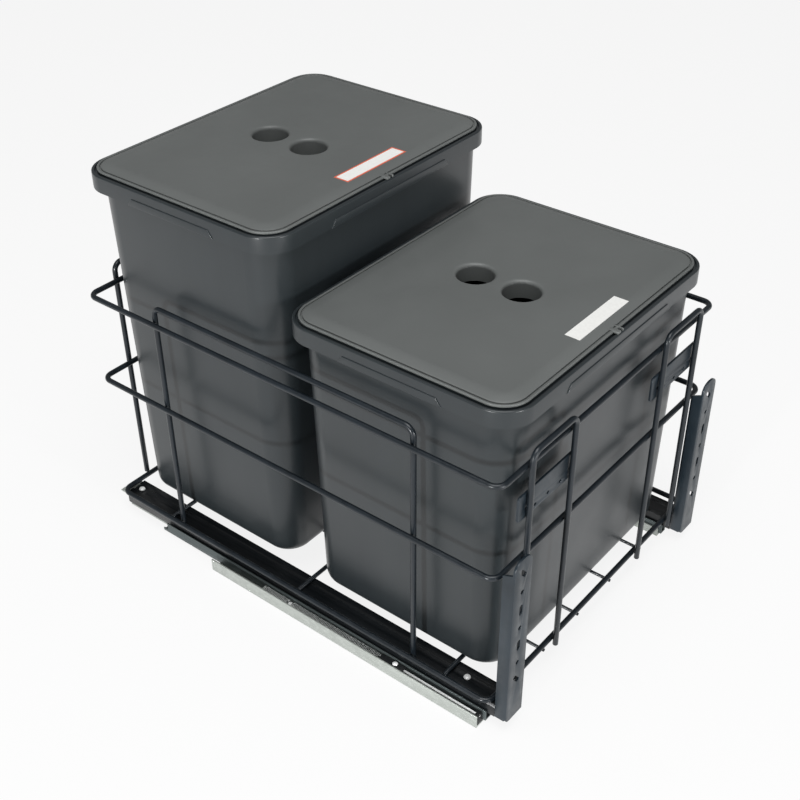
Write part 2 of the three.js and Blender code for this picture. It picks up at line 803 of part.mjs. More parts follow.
function doorBracket(side) {
  // An angle with an arched front flange, a column of adjusting slots and a tongue that the
  // carrier's front screw clamps. Both sides use the same bracket, so its bend is on the left.
  const left = side * slideX + bracketShift - bracketWidth / 2;
  const right = left + bracketWidth;
  const shoulder = bracketBottom + bracketHeight;
  const crown = shoulder + bracketCrown;
  const middle = (left + right) / 2;

  const face = new THREE.Shape();
  face.moveTo(left + bracketTipRadius, bracketBottom);
  face.lineTo(right, bracketBottom);
  face.lineTo(right, shoulder);
  face.quadraticCurveTo(right, crown, middle, crown);
  face.quadraticCurveTo(left, crown, left, shoulder);
  face.lineTo(left, bracketBottom + bracketTipRadius);
  face.quadraticCurveTo(left, bracketBottom, left + bracketTipRadius, bracketBottom);
  const front = new THREE.ExtrudeGeometry(face, {
    depth: bracketSheet,
    bevelEnabled: false,
    curveSegments: 6,
  });
  front.rotateX(Math.PI / 2);
  front.translate(0, bracketFront + bracketSheet, 0);

  const flange = new THREE.Shape([
    new THREE.Vector2(bracketFront, bracketBottom + bracketTipRadius),
    new THREE.Vector2(bracketFront + bracketSheet, bracketBottom + bracketTipRadius / 3),
    new THREE.Vector2(bracketFront + bracketDepth, bracketBottom + bracketTipRadius / 3),
    new THREE.Vector2(bracketFront + bracketDepth, shoulder - bracketRearDrop),
    new THREE.Vector2(bracketFront, shoulder),
  ]);
  const flangePlate = new THREE.ExtrudeGeometry(flange, { depth: bracketSheet, bevelEnabled: false });
  flangePlate.rotateX(Math.PI / 2);
  flangePlate.rotateZ(Math.PI / 2);
  flangePlate.translate(left, 0, 0);

  const tongueMiddle = side * slideX;
  const tongueRoot = box(
    [left, bracketFront + bracketSheet / 2, tongueTop - bracketSheet],
    [tongueMiddle + tongueWidth / 2, bracketFront + bracketDepth, tongueTop],
  );
  const tongue = box(
    [tongueMiddle - tongueWidth / 2, bracketFront + bracketDepth / 2, tongueTop - bracketSheet],
    [tongueMiddle + tongueWidth / 2, bracketFront + tongueLength, tongueTop],
  );

  const slots = [];
  for (let i = 0; i < bracketSlotCount; i += 1) {
    const ends = i === 0 || i === bracketSlotCount - 1;
    const length = i % 2 === 0 ? bracketSlotLength : bracketSlot + 0.1;
    const z = bracketLowestSlot + i * bracketSlotPitch;
    slots.push(slotCutter(middle, z, length, ends ? bracketSlotTilt : 0));
  }
  return shaped(front, [flangePlate, tongueRoot, tongue], [...slots, screwHole(tongueMiddle, frontScrewY)]);
}

function flatRing(level) {
  const outline = roundedOutline(ringX, ringY, ringCorner, bendSteps);
  const points = outline.map((point) => new THREE.Vector3(point.x, point.y, level));
  return tube(points, frameWire, wireSides, new THREE.Vector3(0, 0, 1), true);
}

function sideHoop(side) {
  // Stands on the carrier, inside the rings.
  const foot = carrierTop + gap;
  const points = hoopOutline(sideHoopSpan / 2, foot, hoopLevel, hoopCorner)
    .map((point) => new THREE.Vector3(side * sideHoopX, point.x, point.y));
  return tube(points, frameWire, wireSides, new THREE.Vector3(1, 0, 0));
}

function endHoop(middle, span, y, foot) {
  // Stands upright against the front or the back of the rings.
  const points = hoopOutline(span / 2, foot, hoopLevel, hoopCorner)
    .map((point) => new THREE.Vector3(middle + point.x, y, point.y));
  return tube(points, frameWire, wireSides, new THREE.Vector3(0, 1, 0));
}

function doorPlate(side) {
  // Welded behind both legs of a front hoop, with a row of holes along its lower edge.
  const middle = (side * frontHoopSpacing) / 2;
  const outline = roundedOutline(plateLength / 2, plateHeight / 2, plateCorner, 3);
  const shape = new THREE.Shape(outline);
  const rear = -hoopY + frameWire / 2 + gap + plateSheet;
  const level = upperLevel - plateBelowUpperRing;
  const rowDrop = plateHeight / 2 - plateHole * 1.4;
  const spots = [-1, 0, 1].map((i) => [i * plateHoleSpacing, -rowDrop]);
  for (const end of [-1, 1]) spots.push([end * (plateLength / 2 - plateEndHoleInset), -rowDrop / 3]);
  for (const [x, z] of spots) {
    const hole = new THREE.Path();
    hole.absarc(x, z, plateHole / 2, 0, 2 * Math.PI, true);
    shape.holes.push(hole);
  }
  const geometry = new THREE.ExtrudeGeometry(shape, {
    depth: plateSheet,
    bevelEnabled: false,
    curveSegments: 4,
  });
  geometry.rotateX(Math.PI / 2);
  geometry.translate(middle, rear, level);
  return geometry;
}

function basket() {
  const group = new THREE.Group();
  group.add(
    piece('base_ring', flatRing(baseLevel), frameCoating),
    piece('lower_ring', flatRing(lowerLevel), frameCoating),
    piece('upper_ring', flatRing(upperLevel), frameCoating),
    piece('back_hoop', endHoop(0, backHoopSpan, hoopY, baseLevel), frameCoating),
  );
  for (const [hand, side] of slides) {
    const middle = (side * frontHoopSpacing) / 2;
    group.add(
      piece(`${hand}_side_hoop`, sideHoop(side), frameCoating),
      piece(
        `${hand}_front_hoop`,
        endHoop(middle, frontHoopSpan, -hoopY, baseLevel - hoopFootDrop),
        frameCoating,
      ),
      piece(`${hand}_door_plate`, doorPlate(side), frameCoating),
    );
  }
  ['front', 'middle', 'rear'].forEach((place, i) => {
    const reach = ringX - frameWire / 2 - gap;
    const y = crossWireShift + (i - 1) * crossWireSpacing;
    const from = new THREE.Vector3(-reach, y, crossLevel);
    const to = new THREE.Vector3(reach, y, crossLevel);
    group.add(piece(`${place}_cross_wire`, straightWire(from, to, crossWire), frameCoating));
  });
  ['far_left', 'near_left', 'near_right', 'far_right'].forEach((place, i) => {
    const reach = ringY + frameWire / 2 - gap;
    const x = (i - 1.5) * floorWireSpacing;
    const from = new THREE.Vector3(x, -reach, floorLevel);
    const to = new THREE.Vector3(x, reach, floorLevel);
    group.add(piece(`${place}_floor_wire`, straightWire(from, to, floorWire), frameCoating));
  });
  return group;
}

function tray() {
  const group = new THREE.Group();
  const underHead = grooveLevel + gap;
  for (const [hand, side] of slides) {
    const x = side * slideX;
    group.add(
      piece(`${hand}_inner_rail`, innerRail(side), galvanised),
      piece(`${hand}_carrier`, carrier(side), carrierBlack),
      piece(`${hand}_door_bracket`, doorBracket(side), frameCoating),
      piece(`${hand}_front_screw`, screw(x, frontScrewY, underHead), brightSteel),
      piece(`${hand}_rear_screw`, screw(x, rearScrewY, underHead), brightSteel),
    );
  }
  group.add(basket());
  return group;
}

// ---------------------------------------------------------------------------------------------
// Bins and lids
// ---------------------------------------------------------------------------------------------

function levelRing(inset, z, corner = rimCorner) {
  // The bin's outline at one level, drawn in from the outer edge of the rim.
  const outline = roundedOutline(rimWidth / 2 - inset, rimDepth / 2 - inset, corner - inset, cornerSteps);
  return outline.map((point) => new THREE.Vector3(point.x, point.y, z));
}

function binShell(height) {
  // One moulding: up the outside, out and down round the turned-over rim, and down the inside.
  const slope = Math.tan(THREE.MathUtils.degToRad(binDraft));
  const outside = (z) => rimOverhang + (height - z) * slope;
  const inside = (z) => outside(z) + binWall;
  const underRim = height - binWall;
  const bandEdge = height - rimBand;
  const bandInside = Math.min(binWall, rimOverhang / 3);
  const roundFoot = binFoot * (1 - Math.SQRT1_2);
  return skin([
    levelRing(outside(0) + binFoot, 0),
    levelRing(outside(0) + roundFoot, roundFoot),
    levelRing(outside(binFoot), binFoot),
    levelRing(outside(underRim), underRim),
    levelRing(bandInside, underRim),
    levelRing(bandInside, bandEdge),
    levelRing(0, bandEdge),
    levelRing(0, height - rimEdge),
    levelRing(rimEdge * 0.3, height - rimEdge * 0.3),
    levelRing(rimEdge, height),
    levelRing(inside(height) - rimEdge, height),
    levelRing(inside(height), height - rimEdge),
    levelRing(inside(binFoot + binWall), binFoot + binWall),
    levelRing(inside(binWall) + roundFoot, binWall + roundFoot),
    levelRing(inside(binWall) + binFoot, binWall),
  ]);
}

function bin(height) {
  // The shell, with a grip strip across the open underside of the rim on each side.
  const bottom = height - rimBand - gripDrop;
  const top = height - rimBand + gripDrop;
  const tuck = rimOverhang + binWall / 2;
  const grips = [];
  for (const side of [-1, 1]) {
    const x = [side * (rimWidth / 2 - tuck), side * (rimWidth / 2 - gripInset)];
    const y = [side * (rimDepth / 2 - tuck), side * (rimDepth / 2 - gripInset)];
    grips.push(box(
      [Math.min(...x), -sideGripLength / 2, bottom],
      [Math.max(...x), sideGripLength / 2, top],
    ));
    grips.push(box(
      [-frontGripLength / 2, Math.min(...y), bottom],
      [frontGripLength / 2, Math.max(...y), top],
    ));
  }
  return shaped(binShell(height), grips, []);
}

function lid() {
  // A flat cover with a raised middle, a skirt that drops into the bin and two finger holes.
  const slope = Math.tan(THREE.MathUtils.degToRad(binDraft));
  const skirtOutside = rimOverhang + binWall + skirtDepth * slope + runningGap;
  const skirtInside = skirtOutside + skirtWall;
  const base = gap;
  const border = base + lidThickness;
  const top = border + lidStep;
  const stepStart = lidInset + lidStepInset;
  const cover = skin([
    levelRing(skirtInside, base - skirtDepth),
    levelRing(skirtOutside, base - skirtDepth),
    levelRing(skirtOutside, base),
    levelRing(lidInset, base),
    levelRing(lidInset, border - lidEdge),
    levelRing(lidInset + lidEdge, border),
    levelRing(stepStart, border),
    levelRing(stepStart + lidEdge, top),
  ]);
  const hollow = skin([
    levelRing(skirtInside, base - 2 * skirtDepth),
    levelRing(skirtInside, base + lidStep),
  ]);
  const added = [];
  const removed = [hollow];
  for (const end of [-1, 1]) {
    const y = fingerHoleShift + (end * fingerHoleSpacing) / 2;
    const bottom = top - fingerHoleDepth;
    const reach = fingerHole / 2 + fingerHoleLip;
    added.push(roundBar(2 * reach, [0, y, bottom], [0, y, top - lidThickness / 2], fingerHoleSides));
    removed.push(fingerHoleCutter(y, bottom, top));
  }
  const latchFront = lidInset - rimDepth / 2;
  added.push(box(
    [-latchWidth / 2, latchFront - latchReach, base],
    [latchWidth / 2, latchFront + lidEdge + 1, base + latchHeight],
  ));
  return shapedInOrder(cover, hollow, added, removed);
}

function fingerHoleCutter(y, bottom, top) {
  // Straight-sided, with a rounded mouth.
  const radius = fingerHole / 2;
  const mouth = fingerHoleLip * 0.8;
  const profile = [
    [0, bottom - 1],
    [radius, bottom - 1],
    [radius, top - mouth],
    [radius + mouth * 0.3, top - mouth * 0.3],
    [radius + mouth, top],
    [radius + mouth, top + 1],
    [0, top + 1],
  ];
  const points = profile.map(([r, z]) => new THREE.Vector2(r, z));
  const geometry = new THREE.LatheGeometry(points, fingerHoleSides);
  geometry.rotateX(Math.PI / 2);
  geometry.translate(0, y, 0);
  return geometry;
}

function shapedInOrder(blank, hollow, added, removed) {
  // The underside is hollowed first, so that the collars added to it stay.
  const shell = toSolid(blank).subtract(toSolid(hollow));
  const collars = added.reduce((sum, geometry) => sum.add(toSolid(geometry)), shell);
  const cutters = removed.filter((geometry) => geometry !== hollow);
  return toGeometry(cutters.reduce((sum, geometry) => sum.subtract(toSolid(geometry)), collars));
}

function liddedBin(place, height, shift) {
  const group = new THREE.Group();
  group.position.set(0, shift, binLevel);
  const cover = piece(`${place}_lid`, lid(), lidPlastic);
  cover.position.z = height;
  group.add(piece(`${place}_bin`, bin(height), binPlastic), cover);
  return group;
}

// ---------------------------------------------------------------------------------------------
// Assembly
// ---------------------------------------------------------------------------------------------

const unit = new THREE.Group();
unit.name = 'pull_out_waste_unit';
unit.add(
  fixedRails(),
  middleRails(),
  tray(),
  liddedBin('rear', rearBinHeight, rearBinShift),
  liddedBin('front', frontBinHeight, frontBinShift),
);
unit.position.y = -(unitFront + unitRear) / 2;

export default unit;
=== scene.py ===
# Studio view of a pull-out waste unit: two lidded bins stand in a wire basket on a pair of ball
# slides. Metres, in the model's own frame: X runs across the cabinet, -Y out of it, Z is up.

import math

import bmesh
import bpy
from mathutils import Matrix, Vector


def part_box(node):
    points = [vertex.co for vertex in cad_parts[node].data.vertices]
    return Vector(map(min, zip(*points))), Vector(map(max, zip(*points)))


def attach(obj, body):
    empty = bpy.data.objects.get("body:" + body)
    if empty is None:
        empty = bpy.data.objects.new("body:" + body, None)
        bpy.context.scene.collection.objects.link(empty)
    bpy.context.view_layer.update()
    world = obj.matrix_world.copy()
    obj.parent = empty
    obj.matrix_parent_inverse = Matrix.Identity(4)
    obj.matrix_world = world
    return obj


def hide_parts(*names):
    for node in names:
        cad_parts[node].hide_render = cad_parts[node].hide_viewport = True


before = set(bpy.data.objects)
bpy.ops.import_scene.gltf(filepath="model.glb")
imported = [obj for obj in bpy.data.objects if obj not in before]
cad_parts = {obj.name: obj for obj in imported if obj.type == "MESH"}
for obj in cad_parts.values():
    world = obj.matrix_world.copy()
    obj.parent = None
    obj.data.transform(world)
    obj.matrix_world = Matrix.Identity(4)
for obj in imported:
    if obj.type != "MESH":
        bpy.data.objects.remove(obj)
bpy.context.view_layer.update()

MM = 0.001
QUARTER = math.pi / 2
UP = Vector((0, 0, 1))
ACROSS = Vector((1, 0, 0))
INWARD = Vector((0, 1, 0))

# Wires
FRAME_WIRE = 5 * MM
CROSS_WIRE = 4 * MM
FLOOR_WIRE = 3 * MM
RING_BEND = 9 * MM
HOOP_BEND = 8 * MM
WIRE_SIDES = 20
BEND_STEPS = 10
WIRE_END_EASE = 0.4 * MM
ROD_END_EASE = 0.2 * MM

# Rounded edges of the sheet and moulded pieces
PLATE_EDGE = 0.3 * MM
BRACKET_EDGE = 0.45 * MM
CARRIER_EDGE = 0.35 * MM
RAIL_EDGE = 0.25 * MM
MIDDLE_RAIL_EDGE = 0.2 * MM
CAGE_EDGE = 0.1 * MM
HOUSING_EDGE = 0.35 * MM
CATCH_EDGE = 0.3 * MM

# Points closer than this are made one
COPY_WELD = 0.001 * MM
FASTENER_WELD = 0.005 * MM
RING_WELD = 0.01 * MM

# Angles in degrees: above a crease an edge is rounded, below a smooth angle it is shaded away
CREASE = 30
CARRIER_CREASE = 20
CAGE_CREASE = 60
SMOOTH = 38
FASTENER_SMOOTH = 50
SPRING_SMOOTH = 60

# Bins
CORNER_STEPS = 12
RIM_CORNER = 29 * MM
RIM_BAND = 15 * MM
BAND_SHEET = 1 * MM
RIM_EDGE = 1.5 * MM
SIDE_OVERHANG = 3 * MM
FRONT_OVERHANG = 5 * MM
REAR_OVERHANG = 11.2 * MM
BIN_CORNER = 32 * MM
BIN_WALL = 2.4 * MM
BIN_DRAFT = math.radians(1.2)
BIN_FOOT = 12 * MM
LEDGE_REACH = 6 * MM
RIM_SHEET = 3.4 * MM
LIP = 2.8 * MM
SEAT_GROOVE = 2.4 * MM
SEAT_GROOVE_DEPTH = 2.3 * MM
SEAT_GROOVE_EASE = 0.3 * MM
GRIP_HEIGHT = 6.5 * MM
GRIP_FOOT = 0.2 * MM
GRIP_PROUD = 0.8 * MM
GRIP_SLANT = 5 * MM
GRIP_EDGE = 0.5 * MM
SIDE_GRIP = 100 * MM
FRONT_GRIP = 156 * MM

# Lids
LID_INSET = 5 * MM
LID_RIDGE = 2.2 * MM
LID_RIDGE_HEIGHT = 2 * MM
LID_RIDGE_ROUND = 0.7 * MM
LID_GROOVE = 1.2 * MM
LID_GROOVE_DEPTH = 1.5 * MM
LID_MIDDLE_ROUND = 0.5 * MM
LID_ROLL = 12 * MM
LID_SHEET = 2.4 * MM
LID_SEAT_GAP = 0.3 * MM
SKIRT_DEPTH = 9 * MM
SKIRT_WALL = 2 * MM
SKIRT_PLAY = 0.8 * MM
FINGER_HOLE = 32 * MM
FINGER_HOLE_SPACING = 46 * MM
FINGER_HOLE_SHIFT = 3.8 * MM
FINGER_HOLE_MOUTH = 3.5 * MM
FINGER_HOLE_DEPTH = 16 * MM
HOLE_SEGMENTS = 64
MOUTH_STEPS = 8
ROLL_STEPS = 8
LEVEL_STEP = 0.02 * MM  # least step between two levels
LATCH_TAB = (-5.5 * MM, -1.3 * MM, 2.2 * MM)  # left and right of the lid's middle, and height
LATCH_STOP = (1.5 * MM, 2.8 * MM, 2.4 * MM)
LATCH_INSET = 0.6 * MM
LATCH_OVERLAP = 1 * MM
LATCH_LIFT = 0.1 * MM
LATCH_EDGE = 0.45 * MM

# Labels
FILM = 0.1 * MM

# Springs
SPRING_WIRE = 0.8 * MM
SPRING_SIDES = 8
CURL_STEPS = 14
SPRING_PITCH = 1.55 * MM

# Screws and rivets: the head's outline in shares of its radius and height, from the shank up
HEAD_OUTLINE = ((0.94, 0), (1, 0.12), (0.97, 0.4), (0.82, 0.7), (0.5, 0.93), (0, 1))
HEAD_HEIGHT = 0.68  # share of the head's radius
SHANK_TIP = 0.8  # share of the shank's radius
SHANK_CHAMFER = 0.5 * MM
CARRIER_SCREW_SHANK = 0.53  # share of the head's radius
RAIL_FASTENER_SHANK = 0.6
FASTENER_STEPS = 32

# Studio
FLOOR_REACH = 8
FLOOR_DROP = 0.4 * MM
FLOOR_WHITENESS = 0.86  # share of plain white in what the camera sees of the floor
EVEN_LIGHT = 0.24

HANDS = ("left", "right")


# ------------------------------------------------------------------------------------- finishes

def tint(code):
    """A colour written as six hexadecimal digits, as the linear values that a shader takes."""
    channels = [int(code[i:i + 2], 16) / 255 for i in (0, 2, 4)]
    linear = [c / 12.92 if c <= 0.04045 else ((c + 0.055) / 1.055) ** 2.4 for c in channels]
    return (*linear, 1.0)


class Finish:
    """A material whose colour, gloss and relief are patterned in the object's own coordinates."""

    def __init__(self, name, metallic=0.0, specular=0.5):
        self.material = bpy.data.materials.new(name)
        self.material.use_nodes = True
        self.nodes = self.material.node_tree.nodes
        self.links = self.material.node_tree.links
        self.shader = self.nodes["Principled BSDF"]
        self.shader.inputs["Metallic"].default_value = metallic
        self.shader.inputs["Specular IOR Level"].default_value = specular
        self.place = self.nodes.new("ShaderNodeTexCoord").outputs["Object"]

    def stretched(self, stretch):
        mapping = self.nodes.new("ShaderNodeMapping")
        mapping.inputs["Scale"].default_value = stretch
        self.links.new(self.place, mapping.inputs["Vector"])
        return mapping.outputs["Vector"]

    def noise(self, scale, stretch=(1, 1, 1), detail=3.0):
        place = self.stretched(stretch)
        texture = self.nodes.new("ShaderNodeTexNoise")
        texture.inputs["Scale"].default_value = scale
        texture.inputs["Detail"].default_value = detail
        texture.inputs["Roughness"].default_value = 0.55
        self.links.new(place, texture.inputs["Vector"])
        return texture.outputs["Fac"]

    def cells(self, scale, stretch):
        """Small grains, each with its own share from 0 to 1."""
        place = self.stretched(stretch)
        texture = self.nodes.new("ShaderNodeTexVoronoi")
        texture.inputs["Scale"].default_value = scale
        self.links.new(place, texture.inputs["Vector"])
        separate = self.nodes.new("ShaderNodeSeparateColor")
        self.links.new(texture.outputs["Color"], separate.inputs["Color"])
        return separate.outputs["Red"]

    def spread(self, source, low, high, start=0.3, end=0.7):
        """Maps a pattern's middle range onto the values from low to high."""
        node = self.nodes.new("ShaderNodeMapRange")
        node.inputs["From Min"].default_value = start
        node.inputs["From Max"].default_value = end
        node.inputs["To Min"].default_value = low
        node.inputs["To Max"].default_value = high
        self.links.new(source, node.inputs["Value"])
        return node.outputs["Result"]

    def blend(self, factor, first, second):
        node = self.nodes.new("ShaderNodeMix")
        node.data_type = "RGBA"
        for socket, value in (("A_Color", first), ("B_Color", second)):
            target = next(s for s in node.inputs if s.identifier == socket)
            if isinstance(value, tuple):
                target.default_value = value
            else:
                self.links.new(value, target)
        self.links.new(factor, next(s for s in node.inputs if s.identifier == "Factor_Float"))
        return next(s for s in node.outputs if s.identifier == "Result_Color")

    def colour(self, source):
        self.links.new(source, self.shader.inputs["Base Color"])

    def gloss(self, source):
        self.links.new(source, self.shader.inputs["Roughness"])

    def relief(self, source, depth, strength):
        node = self.nodes.new("ShaderNodeBump")
        node.inputs["Strength"].default_value = strength
        node.inputs["Distance"].default_value = depth
        self.links.new(source, node.inputs["Height"])
        self.links.new(node.outputs["Normal"], self.shader.inputs["Normal"])


def moulded_bin_plastic():
    """Glossy blue-grey polypropylene with faint upright flow marks."""
    finish = Finish("moulded_bin_plastic", specular=0.5)
    cloud = finish.spread(finish.noise(7, (1, 1, 0.6)), 0.0, 1.0)
    flow = finish.spread(finish.noise(60, (1, 1, 0.05)), 0.0, 0.12)
    base = finish.blend(cloud, tint("22272a"), tint("262b2d"))
    finish.colour(finish.blend(flow, base, tint("333a3d")))
    finish.gloss(finish.spread(finish.noise(30, detail=4), 0.29, 0.34))
    finish.relief(finish.noise(900, detail=2), 0.01 * MM, 0.2)
    return finish.material


def grained_lid_plastic():
    """Satin grey with the fine grain of a spark-eroded mould."""
    finish = Finish("grained_lid_plastic", specular=0.45)
    cloud = finish.spread(finish.noise(7), 0.0, 1.0)
    finish.colour(finish.blend(cloud, tint("5c5f5e"), tint("646766")))
    finish.gloss(finish.spread(finish.noise(60, detail=4), 0.4, 0.5))
    finish.relief(finish.noise(1500, detail=2), 0.03 * MM, 0.45)
    return finish.material


def powder_coated_wire():
    """Anthracite powder coat with a slight orange peel."""
    finish = Finish("powder_coated_wire", metallic=0.1, specular=0.5)
    cloud = finish.spread(finish.noise(30), 0.0, 1.0)
    finish.colour(finish.blend(cloud, tint("12181d"), tint("1a2127")))
    finish.gloss(finish.spread(finish.noise(120, detail=4), 0.27, 0.4))
    finish.relief(finish.noise(420, detail=1), 0.06 * MM, 0.35)
    return finish.material


def coated_bracket_sheet():
    """The same coat on pressed sheet, a little bluer and with softer relief."""
    finish = Finish("coated_bracket_sheet", metallic=0.15, specular=0.5)
    cloud = finish.spread(finish.noise(22), 0.0, 1.0)
    finish.colour(finish.blend(cloud, tint("1b242b"), tint("242f37")))
    finish.gloss(finish.spread(finish.noise(90, detail=4), 0.32, 0.45))
    finish.relief(finish.noise(380, detail=1), 0.06 * MM, 0.3)
    return finish.material


def black_carrier_coat():
    """Black electro-coat, smooth along the rolled profile."""
    finish = Finish("black_carrier_coat", metallic=0.1, specular=0.5)
    cloud = finish.spread(finish.noise(40, (1, 0.15, 1)), 0.0, 1.0)
    finish.colour(finish.blend(cloud, tint("0b0d0f"), tint("15191c")))
    finish.gloss(finish.spread(finish.noise(150, (1, 0.2, 1), detail=4), 0.26, 0.4))
    finish.relief(finish.noise(300, (1, 0.1, 1), detail=1), 0.03 * MM, 0.3)
    return finish.material


def galvanised_sheet():
    """Zinc-coated steel: small grains of slightly different grey and fine rolling lines."""
    finish = Finish("galvanised_sheet", metallic=0.4)
    tone = finish.spread(finish.cells(260, (1, 0.5, 1)), 0.0, 1.0, 0.0, 1.0)
    finish.colour(finish.blend(tone, tint("a6aba6"), tint("b0b5b0")))
    finish.gloss(finish.spread(finish.noise(180, (1, 0.1, 1), detail=4), 0.3, 0.48))
    finish.relief(finish.noise(900, (1, 0.03, 1), detail=2), 0.02 * MM, 0.4)
    return finish.material


def bright_zinc():
    """Bright zinc on screws, springs and rods."""
    finish = Finish("bright_zinc", metallic=0.1)
    cloud = finish.spread(finish.noise(220), 0.0, 1.0)
    finish.colour(finish.blend(cloud, tint("e4e6e5"), tint("f0f1f0")))
    finish.gloss(finish.spread(finish.noise(500, detail=4), 0.18, 0.32))
    finish.relief(finish.noise(1400, detail=2), 0.01 * MM, 0.4)
    return finish.material


def blued_rail_steel():
    """Dark chromated steel of the middle rails."""
    finish = Finish("blued_rail_steel", metallic=0.7)
    cloud = finish.spread(finish.noise(60, (1, 0.1, 1)), 0.0, 1.0)
    finish.colour(finish.blend(cloud, tint("4d5556"), tint("636b6b")))
    finish.gloss(finish.spread(finish.noise(200, (1, 0.1, 1), detail=4), 0.34, 0.5))
    finish.relief(finish.noise(700, (1, 0.04, 1), detail=2), 0.02 * MM, 0.35)
    return finish.material


def matt_housing_plastic():
    """Black glass-filled nylon of the damper housings."""
    finish = Finish("matt_housing_plastic", specular=0.4)
    cloud = finish.spread(finish.noise(90), 0.0, 1.0)
    finish.colour(finish.blend(cloud, tint("121415"), tint("1b1e20")))
    finish.gloss(finish.spread(finish.noise(240, detail=4), 0.48, 0.62))
    finish.relief(finish.noise(1600, detail=2), 0.03 * MM, 0.5)
    return finish.material


def pale_cage_strip():
    """Pressed strip of the ball cages."""
    finish = Finish("pale_cage_strip", metallic=0.6)
    cloud = finish.spread(finish.noise(120), 0.0, 1.0)
    finish.colour(finish.blend(cloud, tint("868c8e"), tint("989d9f")))
    finish.gloss(finish.spread(finish.noise(300, detail=4), 0.32, 0.45))
    finish.relief(finish.noise(900, detail=2), 0.02 * MM, 0.4)
    return finish.material


def label_film(name, code):
    """A matt printed film with a trace of paper fibre."""
    finish = Finish(name, specular=0.35)
    light = tint(code)
    dark = tuple(0.94 * c for c in light[:3]) + (1.0,)
    finish.colour(finish.blend(finish.spread(finish.noise(400), 0, 1), dark, light))
    finish.gloss(finish.spread(finish.noise(200), 0.42, 0.55))
    finish.relief(finish.noise(1200), 0.01 * MM, 0.3)
    return finish.material


BIN_PLASTIC = moulded_bin_plastic()
LID_PLASTIC = grained_lid_plastic()
WIRE_COAT = powder_coated_wire()
BRACKET_COAT = coated_bracket_sheet()
CARRIER_COAT = black_carrier_coat()
GALVANISED = galvanised_sheet()
BRIGHT = bright_zinc()
RAIL_STEEL = blued_rail_steel()
HOUSING = matt_housing_plastic()
CAGE = pale_cage_strip()
LABEL_WHITE = label_film("label_white", "f2f2ef")
LABEL_ORANGE = label_film("label_orange", "e2694c")


# --------------------------------------------------------------------------------- making pieces

def finished(bm, name, material, body, smooth_below=SMOOTH):
    """Turns a bmesh into a piece that rides on a body."""
    mesh = bpy.data.meshes.new(name)
    bm.to_mesh(mesh)
    bm.free()
    mesh.shade_smooth()
    mesh.set_sharp_from_angle(angle=math.radians(smooth_below))
    mesh.materials.append(material)
    piece = bpy.data.objects.new(name, mesh)
    bpy.context.scene.collection.objects.link(piece)
    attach(piece, body)
    return piece


def stand_in(bm, node, material, body, smooth_below=SMOOTH):
    """Turns a bmesh into the piece that is shown for a node."""
    piece = finished(bm, f"{node}_finished", material, body, smooth_below)
    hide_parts(node)


def middle_and_size(node):
    low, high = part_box(node)
    return (low + high) / 2, high - low


def edges_among(verts):
    """The edges that join these corners, in the same order in each run."""
    inside = set(verts)
    edges = dict.fromkeys(e for v in verts for e in v.link_edges)
    return [e for e in edges if set(e.verts) <= inside]


def open_edges(bm):
    return [e for e in bm.edges if e.is_boundary]


def round_off(bm, edges, amount, segments, clamp=False):
    bmesh.ops.bevel(bm, geom=edges, offset=amount, offset_type="OFFSET", segments=segments,
                    profile=0.5, affect="EDGES", clamp_overlap=clamp, material=-1)


def block(bm, middle, size):
    """A rectangular block, as its corners."""
    verts = bmesh.ops.create_cube(bm, size=1)["verts"]
    bmesh.ops.scale(bm, verts=verts, vec=size)
    bmesh.ops.translate(bm, verts=verts, vec=middle)
    return verts


def eased_copy(node, material, body, edge, crease):
    """The node's own shape with its sharp edges rounded off."""
    bm = bmesh.new()
    bm.from_mesh(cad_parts[node].data)
    bmesh.ops.remove_doubles(bm, verts=bm.verts, dist=COPY_WELD)
    bmesh.ops.dissolve_limit(bm, angle_limit=math.radians(1), verts=bm.verts, edges=bm.edges)
    least = math.radians(crease)
    sharp = [e for e in bm.edges if len(e.link_faces) == 2 and e.calc_face_angle() > least]
    round_off(bm, sharp, edge, 2, clamp=True)
    stand_in(bm, node, material, body)


def facing(direction):
    """Turns +Z to a direction."""
    return UP.rotation_difference(direction).to_matrix().to_4x4()


def section_at(bm, place, heading, radius, segments):
    """A round section across the heading, ready to be drawn out."""
    matrix = Matrix.Translation(place) @ facing(heading)
    made = bmesh.ops.create_circle(bm, cap_ends=False, radius=radius, segments=segments,
                                   matrix=matrix)
    return made["verts"]


def draw_out(bm, verts, step):
    """Extrudes an open section along a straight step and gives its new end."""
    made = bmesh.ops.extrude_edge_only(bm, edges=edges_among(verts))
    end = [v for v in made["geom"] if isinstance(v, bmesh.types.BMVert)]
    bmesh.ops.translate(bm, verts=end, vec=step)
    return end


def swing(bm, verts, centre, axis, angle, steps, rise=(0, 0, 0)):
    """Spins an open section about an axis, with a rise at each step, and gives its new end."""
    made = bmesh.ops.spin(bm, geom=verts + edges_among(verts), cent=centre, axis=axis,
                          dvec=rise, angle=angle, steps=steps, use_duplicate=False)
    return [v for v in made["geom_last"] if isinstance(v, bmesh.types.BMVert)]


def bent_wire(bm, start, heading, axis, legs, diameter, bend):
    """A round wire: straight legs, with a quarter turn about the axis between them."""
    place = Vector(start)
    heading = Vector(heading)
    end = section_at(bm, place, heading, diameter / 2, WIRE_SIDES)
    for i, leg in enumerate(legs):
        if i > 0:
            side = axis.cross(heading)
            centre = place + side * bend
            end = swing(bm, end, centre, axis, QUARTER, BEND_STEPS)
            place = centre - (Matrix.Rotation(QUARTER, 3, axis) @ side) * bend
            heading = Matrix.Rotation(QUARTER, 3, axis) @ heading
        end = draw_out(bm, end, heading * leg)
        place = place + heading * leg


